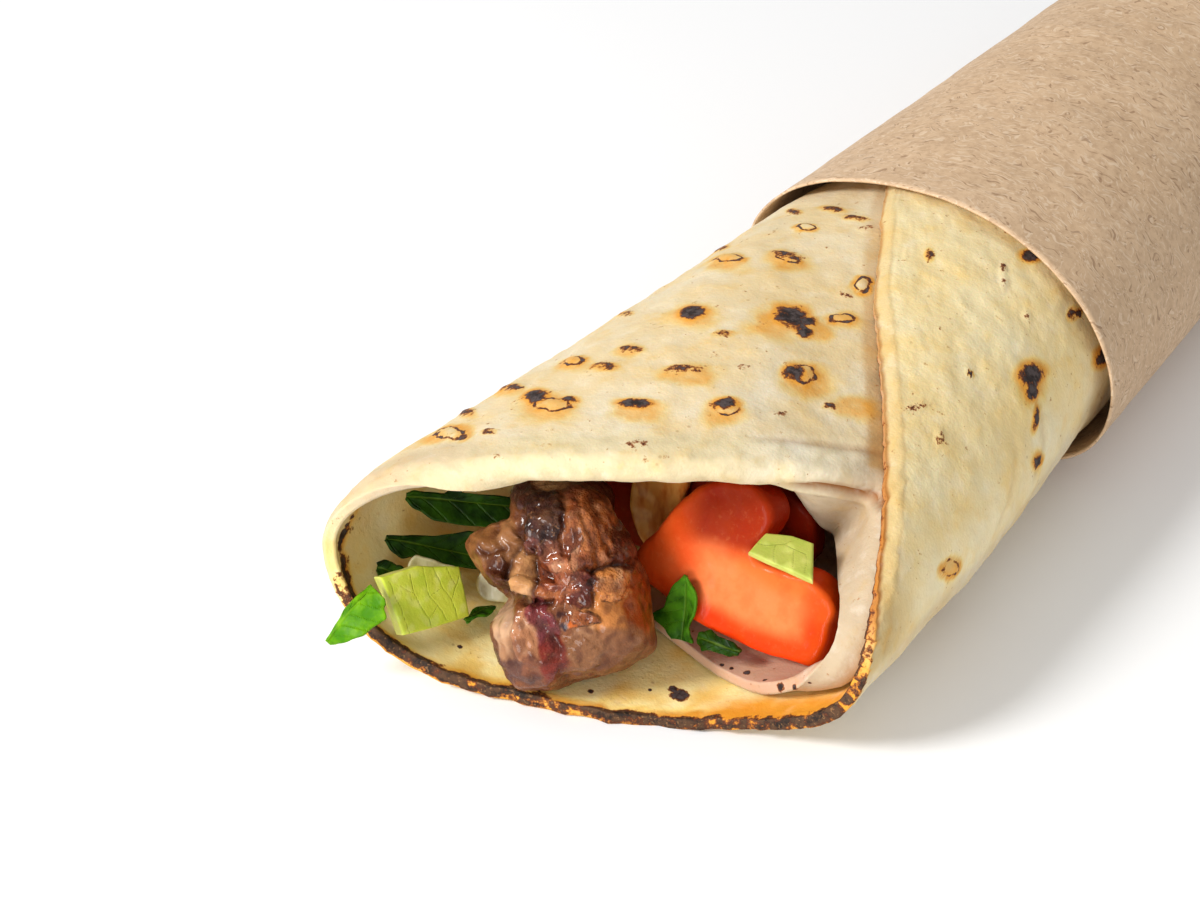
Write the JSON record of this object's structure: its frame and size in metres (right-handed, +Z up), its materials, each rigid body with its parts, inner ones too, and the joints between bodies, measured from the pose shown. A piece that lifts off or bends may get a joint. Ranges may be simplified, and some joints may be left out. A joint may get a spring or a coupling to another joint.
{
  "type": "liver durum wrap",
  "caption": "Charred flatbread rolled round grilled liver, tomato, onion, lettuce and parsley, lying in a kraft paper sleeve with its mouth open.",
  "frame": {"origin": "on the table under the middle of the object's bounding box", "axes": "+Z up, +Y along the roll from its open mouth towards the sleeve's closed end, +X to the right seen from the mouth"},
  "size_m": [0.0944, 0.242, 0.0456],
  "materials": {
    "baked_bread": "matt baked flatbread with char marks",
    "kraft_paper": "matt brown kraft paper",
    "chopped_filling": "moist chopped filling",
    "grilled_liver": "glossy seared liver",
    "grilled_liver_back": "glossy seared liver",
    "tomato_flesh": "wet cut tomato",
    "tomato_back_flesh": "wet cut tomato",
    "tomato_left_flesh": "wet cut tomato",
    "onion_strip": "translucent cooked onion",
    "onion_left": "translucent onion",
    "onion_low": "translucent onion",
    "onion_top": "translucent onion",
    "lettuce_left": "crisp cut lettuce rib",
    "lettuce_right": "crisp cut lettuce rib",
    "lettuce_back": "crisp cut lettuce",
    "parsley_dark": "dark herb leaf",
    "parsley_fresh": "bright herb leaf"
  },
  "bodies": {
    "root": {"flatbread": "baked_bread", "paper_sleeve": "kraft_paper", "filling_core": "chopped_filling", "liver_main": "grilled_liver", "liver_back": "grilled_liver_back", "tomato_front": "tomato_flesh", "tomato_back": "tomato_back_flesh", "tomato_left": "tomato_left_flesh", "onion_strip": "onion_strip", "onion_left": "onion_left", "onion_low": "onion_low", "onion_top": "onion_top", "lettuce_left": "lettuce_left", "lettuce_right": "lettuce_right", "lettuce_back": "lettuce_back", "parsley_top": "parsley_dark", "parsley_mid": "parsley_dark", "parsley_small": "parsley_dark", "parsley_low": "parsley_dark", "parsley_tip": "parsley_fresh", "parsley_under": "parsley_fresh", "parsley_right": "parsley_fresh"}
  },
  "joints": []
}
